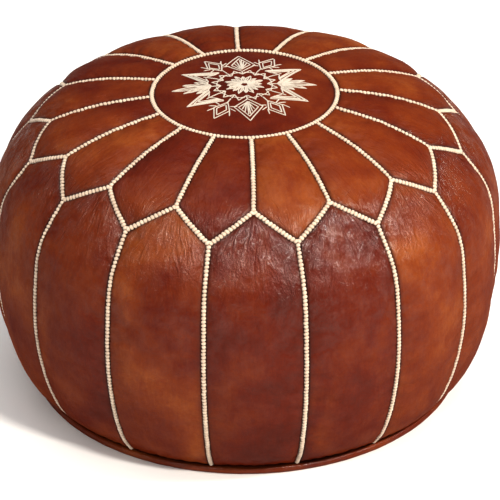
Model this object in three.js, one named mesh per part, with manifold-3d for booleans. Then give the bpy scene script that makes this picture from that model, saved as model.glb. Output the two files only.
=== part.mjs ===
// A round Moroccan leather pouf: a stuffed, hand-sewn cover of sixteen pointed top panels and sixteen
// side panels around an embroidered medallion, closed underneath by a zip. Millimetres, +Z up, the
// floor at z = 0 and the axis of the pouf on z. The zip runs along X, and the front of the pouf is -Y.
import * as THREE from "three";
import { mergeVertices } from "three/addons/utils/BufferGeometryUtils.js";
import Module from "manifold-3d";

const wasm = await Module();
wasm.setup();

// --- Driving dimensions -------------------------------------------------------------------------

const PANELS = 16; // top panels, and as many side panels
const PITCH = (2 * Math.PI) / PANELS;
const LEATHER = 2; // thickness of every leather piece
const CROWN = 5; // how far a panel swells between its seams

// The seams lie on this profile, from the medallion's edge down to the floor: radius, height.
const SEAM_PROFILE = [
  [99, 331.5], // ring seam around the medallion
  [156, 322],
  [206, 303.5], // where a spoke seam meets the zigzag
  [235, 282.5], // where the zigzag meets a side seam
  [262, 236],
  [270.5, 186], // belly
  [271.5, 130],
  [263, 76],
  [248.5, 34],
  [232, 9.6], // base seam
];
const RING_SEAM = 0;
const SPOKE_END = 2;
const ZIGZAG_POINT = 3;
const BASE_SEAM = SEAM_PROFILE.length - 1;

const STITCH_WIDTH = 5;
const STITCH_ABOVE = 1.2; // how proud of the seam the thread lies
const STITCH_BELOW = 1.5;
const SEAM_GAP = 0.6; // between a stitched seam and the leather beside it

const MEDALLION_CROWN = 8;
const STAR_RADIUS = 76; // long points of the embroidered star
const STAR_POINTS = 12;
const STAR_NOTCH = 0.78; // radius of its notches, as a share of the points' radius
const STAR_LIFT = 0.7; // clears the facets of the medallion
const THREAD_THICKNESS = 0.9;

const PIPING_RADIUS = 4;
const PIPING_RING_RADIUS = 231.4;
const BASE_RADIUS = 226.6;

// The base rises in a shallow trough along the zip, so that the slider and its pull clear the floor.
const TROUGH_HEIGHT = 8.5;
const TROUGH_FLAT_Y = 20; // half-width of its level part
const TROUGH_EDGE_Y = 75;
const TROUGH_FLAT_X = 146;
const TROUGH_EDGE_X = 200;

// What lies inside: its inset from the seams, its gap under the medallion's leather, the height of its
// level underside, and how far that rises along the zip.
const LINING = { thickness: 1, inset: 5.9, topGap: 1.4, floor: 3.8, rise: 9.2 };
const STUFFING = { inset: 7.9, topGap: 3.2, floor: 5.8, rise: 9.8 };
const INNER_TROUGH_SPREAD = { x: 1.06, y: 1.25 }; // how much wider their trough is than the base's

const ZIP_HALF_LENGTH = 120; // of the teeth
const ZIP_MID_Z = 11.2;
const TAPE = { inner: 3.4, outer: 17.4, thickness: 0.6, halfLength: 138 };
const SLOT = { half: 7.5, halfLength: 134 }; // the opening between the two base panels
const TOOTH = { pitch: 5, width: 2, reach: 2.7, thickness: 2.6 };
const TEETH_SPINE = { inner: 1.9, outer: 3 };
const SLIDER = {
  x: 120, // centre of its body when the zip is closed
  length: 13,
  halfWidth: 5.6,
  tailHalfWidth: 4.6,
  shoulder: 4, // from its nose to where it is widest
  plate: 1.2, // thickness
  channel: 3.6, // height between the plates
  flange: 1, // thickness of the rims that turn in over the tapes
  flangeDepth: 1,
  wedgeLength: 5.2,
  wedgeHalfWidth: 1.6,
};
const BAIL = { halfLength: 3.6, bar: 1.1, thickness: 1.6, drop: 3.2 };
const PULL = {
  length: 30,
  width: 8,
  neckWidth: 5.2,
  neckLength: 3,
  shoulder: 7, // from the loop to where it is widest
  chamfer: 2,
  thickness: 1.2,
  bar: 1.2, // the end bar that turns in the bail
  loop: 4.8, // length of the opening for the bail
  loopHalf: 1.4,
  holeRadius: 1.6, // of the round hole near its free end
  holeInset: 4.5,
};
const PULL_AXIS_DROP = 1; // from the slider's outer plate to the pull's hinge axis
const PULL_DROOP = 11; // degrees that the pull hangs below the level, almost to the floor
const STOP = { length: 4, width: 2, thickness: 2.8, gap: 1 };
const MERGE = 0.1; // overlap of the slider's pieces where they are joined into one

// --- Materials ----------------------------------------------------------------------------------

const material = (color, roughness, metalness = 0) =>
  new THREE.MeshStandardMaterial({ color, roughness, metalness });
const LEATHER_TAN = material(0x9a4520, 0.4);
const LEATHER_RED_BROWN = material(0x6e2a17, 0.4);
const LEATHER_BASE = material(0x5e2c18, 0.6);
const THREAD_CREAM = material(0xead6bd, 0.8);
const THREAD_SILVER = material(0xbdb5aa, 0.6);
const COTTON = material(0xd9d2c3, 0.95);
const TAPE_BROWN = material(0x3a2419, 0.9);
const BRASS = material(0xb08a4a, 0.35, 1);

// --- The cover's surface ------------------------------------------------------------------------

const profile = new THREE.SplineCurve(SEAM_PROFILE.map(([r, z]) => new THREE.Vector2(r, z)));
const SPAN_STEPS = 30;
profile.arcLengthDivisions = SPAN_STEPS * (SEAM_PROFILE.length - 1);
const profileLengths = profile.getLengths();
const profileLength = profileLengths.at(-1);
const distanceTo = (index) => profileLengths[index * SPAN_STEPS];
const lerp = THREE.MathUtils.lerp;

// Radius, height and outward normal at a distance along the profile.
function profileAt(distance) {
  const share = THREE.MathUtils.clamp(distance / profileLength, 0, 1);
  const point = profile.getPointAt(share);
  const tangent = profile.getTangentAt(share);
  return { r: point.x, z: point.y, nr: -tangent.y, nz: tangent.x };
}

// The point at an angle around the pouf and a distance down its profile, moved out by offset.
function coverPoint(angle, distance, offset = 0) {
  const p = profileAt(distance);
  const radius = p.r + p.nr * offset;
  return new THREE.Vector3(radius * Math.cos(angle), radius * Math.sin(angle), p.z + p.nz * offset);
}

// A box of columns x rows x 1 cells whose corners go where place(u, v, w) says, each from 0 to 1:
// u to the right and v down on the outer face, w from the inner face to the outer one.
function warpedSlab(columns, rows, place) {
  const geometry = new THREE.BoxGeometry(1, 1, 1, columns, rows, 1);
  const corners = geometry.getAttribute("position");
  for (let i = 0; i < corners.count; i++) {
    const p = place(corners.getX(i) + 0.5, 0.5 - corners.getY(i), corners.getZ(i) + 0.5);
    corners.setXYZ(i, p.x, p.y, p.z);
  }
  return geometry;
}

// --- Solids for manifold-3d ---------------------------------------------------------------------

function toSolid(geometry) {
  const bare = geometry.clone();
  bare.deleteAttribute("normal");
  bare.deleteAttribute("uv");
  const merged = mergeVertices(bare, 1e-3);
  return new wasm.Manifold(
    new wasm.Mesh({
      numProp: 3,
      vertProperties: new Float32Array(merged.attributes.position.array),
      triVerts: new Uint32Array(merged.index.array),
    }),
  );
}

function toGeometry(solid) {
  const mesh = solid.getMesh();
  const geometry = new THREE.BufferGeometry();
  geometry.setAttribute("position", new THREE.BufferAttribute(mesh.vertProperties, 3));
  geometry.setIndex(new THREE.BufferAttribute(mesh.triVerts, 1));
  geometry.computeVertexNormals();
  return geometry;
}

// One solid made of overlapping pieces. Faces narrower than SLIVER are merged into their neighbours.
const SLIVER = 0.03;
const joined = (geometries) =>
  toGeometry(
    geometries
      .map(toSolid)
      .reduce((a, b) => a.add(b))
      .simplify(SLIVER),
  );

// A box between two opposite corners.
function block(low, high) {
  const size = high.map((value, i) => value - low[i]);
  return new THREE.BoxGeometry(...size).translate(...low.map((value, i) => value + size[i] / 2));
}

// --- Leather panels -----------------------------------------------------------------------------

const GAP = STITCH_WIDTH / 2 + SEAM_GAP;
const zigzagDrop = distanceTo(ZIGZAG_POINT) - distanceTo(SPOKE_END);
const zigzagRun = (SEAM_PROFILE[SPOKE_END][0] + SEAM_PROFILE[ZIGZAG_POINT][0]) * 0.5 * (PITCH / 2);
const SLANT_GAP = GAP * Math.hypot(1, zigzagDrop / zigzagRun);

// A panel between two straight seams a pitch apart. top and bottom give the distance down the
// profile at a share of the half pitch from the panel's centre line.
function panelGeometry(centre, top, bottom, rows) {
  const columns = 4;
  return warpedSlab(columns, rows, (u, v, w) => {
    const across = 2 * u - 1;
    let share = Math.abs(across);
    let distance = 0;
    let angle = centre;
    for (let pass = 0; pass < 3; pass++) {
      distance = lerp(top(share), bottom(share), v);
      const offset = across * (PITCH / 2 - GAP / profileAt(distance).r);
      angle = centre + offset;
      share = Math.abs(offset) / (PITCH / 2);
    }
    const swell = CROWN * Math.sin(Math.PI * u) * (1 - (2 * v - 1) ** 4);
    return coverPoint(angle, distance, swell - LEATHER * (1 - w));
  });
}

// The zigzag's distance down the profile, at a share of the half pitch away from a zigzag point.
const zigzagAt = (share) => distanceTo(ZIGZAG_POINT) - zigzagDrop * share;

const topPanel = (centre) =>
  panelGeometry(
    centre,
    () => distanceTo(RING_SEAM) + GAP,
    (share) => zigzagAt(share) - SLANT_GAP,
    5,
  );

const sidePanel = (centre) =>
  panelGeometry(
    centre,
    (share) => zigzagAt(1 - share) + SLANT_GAP,
    () => distanceTo(BASE_SEAM) - SEAM_GAP,
    7,
  );

const MEDALLION_RADIUS = SEAM_PROFILE[RING_SEAM][0] - GAP;
const medallionTop = (r) =>
  SEAM_PROFILE[RING_SEAM][1] + MEDALLION_CROWN * (1 - (r / MEDALLION_RADIUS) ** 2);

function medallionGeometry() {
  const radii = [0, 1 / 3, 2 / 3, 1].map((share) => share * MEDALLION_RADIUS);
  const outer = radii.map((r) => new THREE.Vector2(r, medallionTop(r)));
  const inner = radii.map((r) => new THREE.Vector2(r, medallionTop(r) - LEATHER));
  return new THREE.LatheGeometry([...inner, ...outer.reverse()], 32).rotateX(Math.PI / 2);
}

// A disc of thread in the shape of the star's outline, lying on the medallion.
function embroideryGeometry() {
  const radii = [0, 0.4, 0.75, 1].map((share) => share * STAR_RADIUS);
  const under = radii.map((r) => new THREE.Vector2(r, STAR_LIFT));
  const over = radii.map((r) => new THREE.Vector2(r, STAR_LIFT + THREAD_THICKNESS));
  const segments = 2 * STAR_POINTS; // a point and a notch by turns
  const geometry = new THREE.LatheGeometry([...under, ...over.reverse()], segments).rotateX(Math.PI / 2);
  const corners = geometry.getAttribute("position");
  for (let i = 0; i < corners.count; i++) {
    const x = corners.getX(i);
    const y = corners.getY(i);
    const turn = (Math.atan2(y, x) * STAR_POINTS) / (2 * Math.PI);
    const fromPoint = 2 * Math.abs(turn - Math.round(turn));
    const reach = lerp(1, STAR_NOTCH, fromPoint);
    corners.setXYZ(i, x * reach, y * reach, corners.getZ(i) + medallionTop(Math.hypot(x, y) * reach));
  }
  return geometry;
}

// --- Stitching ----------------------------------------------------------------------------------

// Quads between two matching lists of corners, of which the second is the right-hand or upper one.
const strip = (first, second) =>
  first.slice(1).map((corner, i) => [corner, second[i + 1], second[i], first[i]]);

// A solid sheet made of flat faces, listed anticlockwise: place(corner, w) puts each corner in space
// on its underside, w = 0, and on its outer side, w = 1. Edges that only one face has get a wall.
function thickSheet(faces, place) {
  const positions = [];
  const addTriangle = (...points) => points.forEach((point) => positions.push(...point.toArray()));
  const key = (...corners) =>
    corners
      .flatMap((corner) => place(corner, 0).toArray())
      .map((value) => Math.round(value * 1000))
      .join();
  const openEdges = new Map();
  for (const face of faces) {
    for (let i = 1; i < face.length - 1; i++) {
      const [a, b, c] = [face[0], face[i], face[i + 1]];
      addTriangle(place(a, 1), place(b, 1), place(c, 1));
      addTriangle(place(a, 0), place(c, 0), place(b, 0));
    }
    face.forEach((a, i) => {
      const b = face[(i + 1) % face.length];
      if (!openEdges.delete(key(b, a))) openEdges.set(key(a, b), [a, b]);
    });
  }
  for (const [a, b] of openEdges.values()) {
    addTriangle(place(a, 0), place(b, 0), place(b, 1));
    addTriangle(place(a, 0), place(b, 1), place(a, 1));
  }
  const geometry = new THREE.BufferGeometry();
  geometry.setAttribute("position", new THREE.Float32BufferAttribute(positions, 3));
  geometry.computeVertexNormals();
  return geometry;
}

// The spokes, the zigzag and the side seams meet, so their thread is one net. Its corners are given
// as [angle, distance].
function seamStitchingGeometry() {
  const half = STITCH_WIDTH / 2;
  const slantHalf = half * Math.hypot(1, zigzagDrop / zigzagRun);
  const edge = (seam, side, from, to, steps) =>
    Array.from({ length: steps + 1 }, (_, i) => {
      const distance = lerp(from, to, i / steps);
      return [seam + (side * half) / profileAt(distance).r, distance];
    });
  const cornerShare = (index) => half / SEAM_PROFILE[index][0] / (PITCH / 2);
  const spokeSpan = [distanceTo(RING_SEAM) + GAP, zigzagAt(1 - cornerShare(SPOKE_END)) - slantHalf, 4];
  const sideSpan = [zigzagAt(cornerShare(ZIGZAG_POINT)) + slantHalf, distanceTo(BASE_SEAM) - SEAM_GAP, 8];
  const faces = [];
  for (let i = 0; i < PANELS; i++) {
    const spoke = i * PITCH;
    const seam = spoke + PITCH / 2;
    const nextSpoke = spoke + PITCH;
    const spokeEdges = [-1, 1].map((side) => edge(spoke, side, ...spokeSpan));
    const seamEdges = [-1, 1].map((side) => edge(seam, side, ...sideSpan));
    const nextSpokeLeft = edge(nextSpoke, -1, ...spokeSpan);
    const above = (angle, share) => [angle, zigzagAt(share) - slantHalf];
    const below = (angle, share) => [angle, zigzagAt(share) + slantHalf];
    const seamTop = above(seam, 0);
    faces.push(
      ...strip(...spokeEdges),
      ...strip(...seamEdges),
      [below(spoke, 1), spokeEdges[1].at(-1), spokeEdges[0].at(-1)],
      [seamEdges[0][0], seamEdges[1][0], seamTop],
      ...strip(
        [below(spoke, 1), below(spoke + PITCH / 4, 0.5), seamEdges[0][0]],
        [spokeEdges[1].at(-1), above(spoke + PITCH / 4, 0.5), seamTop],
      ),
      ...strip(
        [seamEdges[1][0], below(seam + PITCH / 4, 0.5), below(nextSpoke, 1)],
        [seamTop, above(seam + PITCH / 4, 0.5), nextSpokeLeft.at(-1)],
      ),
    );
  }
  return thickSheet(faces, ([angle, distance], w) =>
    coverPoint(angle, distance, lerp(-STITCH_BELOW, STITCH_ABOVE, w)),
  );
}

// A closed ring with the given outline of [radius, height] points, listed anticlockwise.
const ring = (outline, segments) =>
  new THREE.LatheGeometry(
    [...outline, outline[0]].map(([r, z]) => new THREE.Vector2(r, z)),
    segments,
  ).rotateX(Math.PI / 2);

function ringStitchingGeometry() {
  const [r, z] = SEAM_PROFILE[RING_SEAM];
  const half = STITCH_WIDTH / 2;
  const outline = [
    [r - half, z - STITCH_BELOW],
    [r + half, z - STITCH_BELOW],
    [r + half, z + STITCH_ABOVE],
    [r - half, z + STITCH_ABOVE],
  ];
  return ring(outline, 48);
}

// --- Base ---------------------------------------------------------------------------------------

// How much of the trough's height is left at x, y: 1 along the zip and 0 well away from it.
function troughShare(x, y) {
  const alongZip = 1 - THREE.MathUtils.smoothstep(Math.abs(x), TROUGH_FLAT_X, TROUGH_EDGE_X);
  const acrossZip = 1 - THREE.MathUtils.smoothstep(Math.abs(y), TROUGH_FLAT_Y, TROUGH_EDGE_Y);
  return alongZip * acrossZip;
}

// Half of the round base, on one side of the zip: side is -1 for the front half and 1 for the back.
function basePanelGeometry(side) {
  const seamHalf = 0.3; // half the gap where the two panels meet beyond the zip
  const tip = 4; // y where the half disc's pointed ends are cut off
  const outerHalf = [40, 80, SLOT.halfLength - 1, SLOT.halfLength + 1, 160, 180, 200, 216];
  const right = [...outerHalf, Math.sqrt(BASE_RADIUS ** 2 - tip ** 2)];
  const stations = [...right.map((x) => -x).reverse(), 0, ...right];
  const columns = stations.length - 1;
  const rows = 5;
  return warpedSlab(columns, rows, (u, v, w) => {
    const x = stations[Math.round(u * columns)];
    const inner = Math.abs(x) < SLOT.halfLength ? SLOT.half : seamHalf;
    const outer = Math.sqrt(BASE_RADIUS ** 2 - x ** 2);
    const y = lerp(inner, outer, (side < 0 ? v : 1 - v) ** 1.5);
    return new THREE.Vector3(x, side * y, TROUGH_HEIGHT * troughShare(x, y) + LEATHER * w);
  });
}

function pipingGeometry() {
  const sides = 6;
  const outline = [];
  for (let i = 0; i < sides; i++) {
    const turn = (2 * Math.PI * i) / sides;
    outline.push([
      PIPING_RING_RADIUS + PIPING_RADIUS * Math.cos(turn),
      PIPING_RADIUS + PIPING_RADIUS * Math.sin(turn),
    ]);
  }
  return ring(outline, 48);
}

// --- Inside -------------------------------------------------------------------------------------

const INNER_SEGMENTS = 28;

const UNDER_RADII = [0, 25, 50, 75, 105, 146, 172, 198];
const INNER_STEPS = 9;
const UNDER_MEDALLION_SHARES = [0.7, 0.35, 0];

// A solid that fills the cover, inset from the seams, with a trough underneath along the zip.
function innerGeometry({ inset, topGap, floor, rise }) {
  const outline = UNDER_RADII.map((r) => new THREE.Vector2(r, floor));
  for (let i = INNER_STEPS; i >= 0; i--) {
    const p = profileAt((profileLength * i) / INNER_STEPS);
    outline.push(new THREE.Vector2(p.r - p.nr * inset, Math.max(p.z - p.nz * inset, floor)));
  }
  for (const share of UNDER_MEDALLION_SHARES) {
    const r = share * MEDALLION_RADIUS;
    outline.push(new THREE.Vector2(r, medallionTop(r) - LEATHER - topGap));
  }
  const geometry = new THREE.LatheGeometry(outline, INNER_SEGMENTS).rotateX(Math.PI / 2);
  const corners = geometry.getAttribute("position");
  for (let i = 0; i < corners.count; i++) {
    if (corners.getZ(i) < floor + 0.5) {
      const x = corners.getX(i) / INNER_TROUGH_SPREAD.x;
      const y = corners.getY(i) / INNER_TROUGH_SPREAD.y;
      corners.setZ(i, corners.getZ(i) + rise * troughShare(x, y));
    }
  }
  return geometry;
}

// A cotton bag around the stuffing, open along the zip.
function liningGeometry() {
  const { thickness, inset, topGap, floor } = LINING;
  const hollow = {
    ...LINING,
    inset: inset + thickness,
    topGap: topGap + thickness,
    floor: floor + thickness,
  };
  const mouth = { halfLength: SLOT.halfLength, half: SLOT.half + 1, height: 40 };
  const opening = block(
    [-mouth.halfLength, -mouth.half, 0],
    [mouth.halfLength, mouth.half, mouth.height],
  );
  return toGeometry(
    toSolid(innerGeometry(LINING))
      .subtract(toSolid(innerGeometry(hollow)))
      .subtract(toSolid(opening))
      .simplify(SLIVER),
  );
}

// --- Zip ----------------------------------------------------------------------------------------

// A flat outline of [x, y] points, with holes, extruded upwards from z.
function plate(outline, z, thickness, holes = []) {
  const shape = new THREE.Shape(outline.map(([x, y]) => new THREE.Vector2(x, y)));
  shape.holes = holes;
  const options = { depth: thickness, bevelEnabled: false, curveSegments: 12 };
  return new THREE.ExtrudeGeometry(shape, options).translate(0, 0, z);
}

// A bar along X at the height of the zip, from the near to the far distance on one side of it.
function zipBar(side, [fromX, toX], [near, far], thickness) {
  const [lowY, highY] = side < 0 ? [-far, -near] : [near, far];
  return block([fromX, lowY, ZIP_MID_Z - thickness / 2], [toX, highY, ZIP_MID_Z + thickness / 2]);
}

const tapeGeometry = (side) =>
  zipBar(side, [-TAPE.halfLength, TAPE.halfLength], [TAPE.inner, TAPE.outer], TAPE.thickness);

// One row of teeth on its cord. The two rows are half a pitch apart, so that they mesh.
function teethGeometry(side) {
  const { inner, outer } = TEETH_SPINE;
  const count = Math.floor((2 * ZIP_HALF_LENGTH) / TOOTH.pitch);
  const firstTooth = TOOTH.pitch * (side > 0 ? 0.3 : 0.8) - ZIP_HALF_LENGTH;
  const outline = [
    [ZIP_HALF_LENGTH, side * outer],
    [-ZIP_HALF_LENGTH, side * outer],
    [-ZIP_HALF_LENGTH, side * inner],
  ];
  for (let i = 0; i < count; i++) {
    const left = firstTooth + TOOTH.pitch * i - TOOTH.width / 2;
    const right = left + TOOTH.width;
    outline.push(
      [left, side * inner],
      [left, side * (inner - TOOTH.reach)],
      [right, side * (inner - TOOTH.reach)],
      [right, side * inner],
    );
  }
  outline.push([ZIP_HALF_LENGTH, side * inner]);
  return plate(outline, ZIP_MID_Z - TOOTH.thickness / 2, TOOTH.thickness);
}

const SLIDER_UNDER_Z = ZIP_MID_Z - SLIDER.channel / 2 - SLIDER.plate;
const PULL_AXIS_Z = SLIDER_UNDER_Z - PULL_AXIS_DROP;

// Two plates joined by the wedge that parts the teeth, with flanges at the sides and the bail that
// carries the pull underneath.
function sliderGeometry() {
  const { length, halfWidth, tailHalfWidth, channel, flange, flangeDepth } = SLIDER;
  const { wedgeLength, wedgeHalfWidth } = SLIDER;
  const nose = length / 2;
  const shoulder = nose - SLIDER.shoulder;
  const channelLow = ZIP_MID_Z - channel / 2;
  const channelHigh = ZIP_MID_Z + channel / 2;
  const outline = [
    [-nose, -tailHalfWidth],
    [shoulder, -halfWidth],
    [nose - 1, -halfWidth + 0.6],
    [nose, -halfWidth + 2.4],
    [nose, halfWidth - 2.4],
    [nose - 1, halfWidth - 0.6],
    [shoulder, halfWidth],
    [-nose, tailHalfWidth],
  ];
  const wedge = [
    [nose - wedgeLength, 0],
    [nose - wedgeLength / 2, -wedgeHalfWidth],
    [nose - 0.4, -wedgeHalfWidth + 0.4],
    [nose - 0.4, wedgeHalfWidth - 0.4],
    [nose - wedgeLength / 2, wedgeHalfWidth],
  ];
  const pieces = [
    plate(outline, SLIDER_UNDER_Z, SLIDER.plate),
    plate(outline, channelHigh, SLIDER.plate),
    plate(wedge, channelLow - MERGE, channel + 2 * MERGE),
  ];
  const rightFlange = [
    [shoulder, halfWidth - flange],
    [shoulder, halfWidth],
    [-nose, tailHalfWidth],
    [-nose, tailHalfWidth - flange],
  ];
  const leftFlange = rightFlange.map(([x, y]) => [x, -y]).reverse();
  for (const rim of [leftFlange, rightFlange]) {
    pieces.push(
      plate(rim, channelLow - MERGE, flangeDepth + MERGE),
      plate(rim, channelHigh - flangeDepth, flangeDepth + MERGE),
    );
  }
  const bailLow = SLIDER_UNDER_Z - BAIL.drop;
  const half = BAIL.thickness / 2;
  pieces.push(
    block([-BAIL.halfLength, -half, bailLow], [BAIL.halfLength, half, bailLow + BAIL.bar]),
    block([-BAIL.halfLength, -half, bailLow], [BAIL.bar - BAIL.halfLength, half, SLIDER_UNDER_Z + MERGE]),
    block([BAIL.halfLength - BAIL.bar, -half, bailLow], [BAIL.halfLength, half, SLIDER_UNDER_Z + MERGE]),
  );
  return joined(pieces).translate(SLIDER.x, 0, 0);
}

// A flat tab, hanging a little. Its end bar passes through the slider's bail and is the hinge.
function pullGeometry() {
  const { length, chamfer, thickness, bar, loop, loopHalf } = PULL;
  const neck = PULL.neckWidth / 2;
  const half = PULL.width / 2;
  const outline = [
    [bar / 2, -neck],
    [bar / 2, neck],
    [-loop - PULL.neckLength, neck],
    [-loop - PULL.shoulder, half],
    [-length + chamfer, half],
    [-length, half - chamfer],
    [-length, -half + chamfer],
    [-length + chamfer, -half],
    [-loop - PULL.shoulder, -half],
    [-loop - PULL.neckLength, -neck],
  ];
  const bailHole = new THREE.Path([
    new THREE.Vector2(-bar / 2, -loopHalf),
    new THREE.Vector2(-loop, -loopHalf),
    new THREE.Vector2(-loop, loopHalf),
    new THREE.Vector2(-bar / 2, loopHalf),
  ]);
  const roundHole = new THREE.Path();
  roundHole.absarc(-length + PULL.holeInset, 0, PULL.holeRadius, 0, 2 * Math.PI, true);
  return plate(outline, -thickness / 2, thickness, [bailHole, roundHole])
    .rotateY(-THREE.MathUtils.degToRad(PULL_DROOP))
    .translate(SLIDER.x, 0, PULL_AXIS_Z);
}

// The stops end the rows of teeth: one on each row at the closed end, and one across both rows at
// the other end.
const TOP_STOP_X = SLIDER.x + SLIDER.length / 2 + STOP.gap;
const BOTTOM_STOP_X = -ZIP_HALF_LENGTH - STOP.gap - STOP.length;
const stopSpan = (x) => [x, x + STOP.length];
const topStopReach = [TEETH_SPINE.outer - STOP.width, TEETH_SPINE.outer];
const bottomStopReach = [-TEETH_SPINE.outer, TEETH_SPINE.outer];
const topStopGeometry = (side) => zipBar(side, stopSpan(TOP_STOP_X), topStopReach, STOP.thickness);
const bottomStopGeometry = () => zipBar(1, stopSpan(BOTTOM_STOP_X), bottomStopReach, STOP.thickness);

// --- The pouf -----------------------------------------------------------------------------------

const pouf = new THREE.Group();
const add = (name, geometry, finish) => {
  const mesh = new THREE.Mesh(geometry, finish);
  mesh.name = name;
  pouf.add(mesh);
};
const numbered = (name, index) => `${name}_${String(index + 1).padStart(2, "0")}`;
const SIDES = { front: -1, back: 1 };

add("medallion", medallionGeometry(), LEATHER_RED_BROWN);
add("medallion_embroidery", embroideryGeometry(), THREAD_SILVER);
add("ring_stitching", ringStitchingGeometry(), THREAD_CREAM);
for (let i = 0; i < PANELS; i++) {
  add(numbered("top_panel", i), topPanel((i + 0.5) * PITCH - Math.PI / 2), LEATHER_TAN);
  add(numbered("side_panel", i), sidePanel(i * PITCH - Math.PI / 2), LEATHER_TAN);
}
add("seam_stitching", seamStitchingGeometry(), THREAD_CREAM);
add("base_piping", pipingGeometry(), LEATHER_BASE);
add("lining_bag", liningGeometry(), COTTON);
add("stuffing", innerGeometry(STUFFING), COTTON);
for (const [name, side] of Object.entries(SIDES)) {
  add(`base_panel_${name}`, basePanelGeometry(side), LEATHER_BASE);
  add(`zip_tape_${name}`, tapeGeometry(side), TAPE_BROWN);
  add(`zip_teeth_${name}`, teethGeometry(side), BRASS);
  add(`zip_top_stop_${name}`, topStopGeometry(side), BRASS);
}
add("zip_bottom_stop", bottomStopGeometry(), BRASS);
add("zip_slider", sliderGeometry(), BRASS);
add("zip_pull", pullGeometry(), BRASS);

export default pouf;
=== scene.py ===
"""Looks of a round Moroccan leather pouf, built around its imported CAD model.

Everything is in metres, +Z up, with the axis of the pouf on z and the floor at z = 0. The front is -Y.
Seams are described on the cover's own two directions: an angle around the pouf, and a distance s down
the profile from the ring seam at the medallion to the base seam.
"""

import math

import bmesh
import bpy
import numpy as np
from mathutils import Matrix, Vector, noise


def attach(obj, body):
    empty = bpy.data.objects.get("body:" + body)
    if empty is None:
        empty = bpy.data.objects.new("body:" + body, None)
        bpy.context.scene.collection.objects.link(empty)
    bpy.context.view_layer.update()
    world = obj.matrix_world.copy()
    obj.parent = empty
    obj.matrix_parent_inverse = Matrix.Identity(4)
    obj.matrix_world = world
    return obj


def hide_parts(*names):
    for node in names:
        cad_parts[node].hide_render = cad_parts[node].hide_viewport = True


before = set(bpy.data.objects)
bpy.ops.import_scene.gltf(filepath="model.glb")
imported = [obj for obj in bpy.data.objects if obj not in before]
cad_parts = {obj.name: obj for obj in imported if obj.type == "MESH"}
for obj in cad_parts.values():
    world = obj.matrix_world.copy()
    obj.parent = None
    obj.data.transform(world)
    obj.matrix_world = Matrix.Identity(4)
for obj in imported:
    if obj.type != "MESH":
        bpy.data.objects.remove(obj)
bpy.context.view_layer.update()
MM = 0.001

# --- Driving dimensions ---------------------------------------------------------------------------

PANELS = 16
PITCH = 2 * math.pi / PANELS
FRONT = -math.pi / 2
LEATHER = 2 * MM

# Radius and height, in millimetres, of the seams' profile.
SEAM_PROFILE = [
    (99, 331.5),  # ring seam
    (156, 322),
    (206, 303.5),  # spoke ends: the upper corners of the zigzag
    (232, 279),  # lower corners of the zigzag, where the side seams start
    (262, 236),
    (270.5, 186),
    (271.5, 130),
    (263, 76),
    (248.5, 34),
    (232, 9.6),  # base seam
]
RING, SPOKE_END, ZIGZAG_POINT, BASE = 0, 2, 3, 9

MEDALLION_CROWN = 8 * MM
SEAM_TUCK = 0.9 * MM  # from a seam's centre line to the turned-in edge of the leather
EDGE_ROLL = 3.6 * MM  # radius of that turned edge

STITCH_PITCH = 4.1 * MM
STITCH_HALF_WIDTH = 2.6 * MM
STITCH_HALF_HEIGHT = 1.5 * MM
STITCH_SLANT = math.radians(17)

STAR_RADIUS = 74.5 * MM
STAR_TURN = math.radians(0.9)
STAR_CENTRE = (0.3 * MM, 5 * MM)  # it was sewn a little off the medallion's centre
THREAD_WIDTH = 1.65 * MM
THREAD_HEIGHT = 0.9 * MM

PIPING_RING_RADIUS = 231.4 * MM
PIPING_RADIUS = 4 * MM
BASE_RADIUS = 226.6 * MM

# The base rises in a shallow trough along the zip, which lies along X.
TROUGH_HEIGHT = 8.5 * MM
TROUGH_FLAT = (146 * MM, 20 * MM)  # half-length and half-width of its level part
TROUGH_EDGE = (200 * MM, 75 * MM)  # and of the whole trough
SLOT_HALF_LENGTH, SLOT_HALF_WIDTH = 130 * MM, 7.5 * MM
SLOT_ENDS = (SLOT_HALF_LENGTH - 2 * MM, SLOT_HALF_LENGTH + 2 * MM)  # where it starts and ends to close
BASE_GAP = 0.06 * MM  # from the line where the two halves of the base meet to either of them
ZIP_Z = 11.2 * MM
ZIP_HALF_LENGTH = 120 * MM

SEED = 11
rng = np.random.default_rng(SEED)

# --- The profile of the cover ---------------------------------------------------------------------


def catmull_rom(points, steps):
    """A smooth curve through the points, with so many steps from each to the next."""
    p = np.array([points[0], *points, points[-1]], float)
    t = np.linspace(0, 1, steps, endpoint=False)[:, None]
    spans = []
    for a, b, c, d in zip(p, p[1:], p[2:], p[3:]):
        m0, m1 = (c - a) / 2, (d - b) / 2
        spans.append((2 * b - 2 * c + m0 + m1) * t**3 + (3 * c - 3 * b - 2 * m0 - m1) * t**2 + m0 * t + b)
    return np.vstack([*spans, p[-1:]])


SPAN_STEPS = 30
PROFILE = catmull_rom(SEAM_PROFILE, SPAN_STEPS) * MM
PROFILE_S = np.r_[0, np.cumsum(np.hypot(*np.diff(PROFILE, axis=0).T))]
PROFILE_SLOPE = np.gradient(PROFILE, PROFILE_S, axis=0)
S_OF = [PROFILE_S[i * SPAN_STEPS] for i in range(len(SEAM_PROFILE))]
ZIGZAG_DROP = S_OF[ZIGZAG_POINT] - S_OF[SPOKE_END]


def profile_at(s):
    """Radius, height and outward normal (radial, vertical) at a distance s."""
    r, z = (np.interp(s, PROFILE_S, PROFILE[:, i]) for i in (0, 1))
    dr, dz = (np.interp(s, PROFILE_S, PROFILE_SLOPE[:, i]) for i in (0, 1))
    return r, z, -dz, dr


def cover_point(angle, s, offset=0.0):
    """Points of the cover, moved out by offset along its normal."""
    r, z, nr, nz = profile_at(s)
    radius = r + nr * offset
    return np.stack([radius * np.cos(angle), radius * np.sin(angle), z + nz * offset + 0 * angle], -1)


def cover_normal(angle, s):
    _, _, nr, nz = profile_at(s)
    return np.stack([nr * np.cos(angle), nr * np.sin(angle), nz + 0 * angle], -1)


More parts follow.
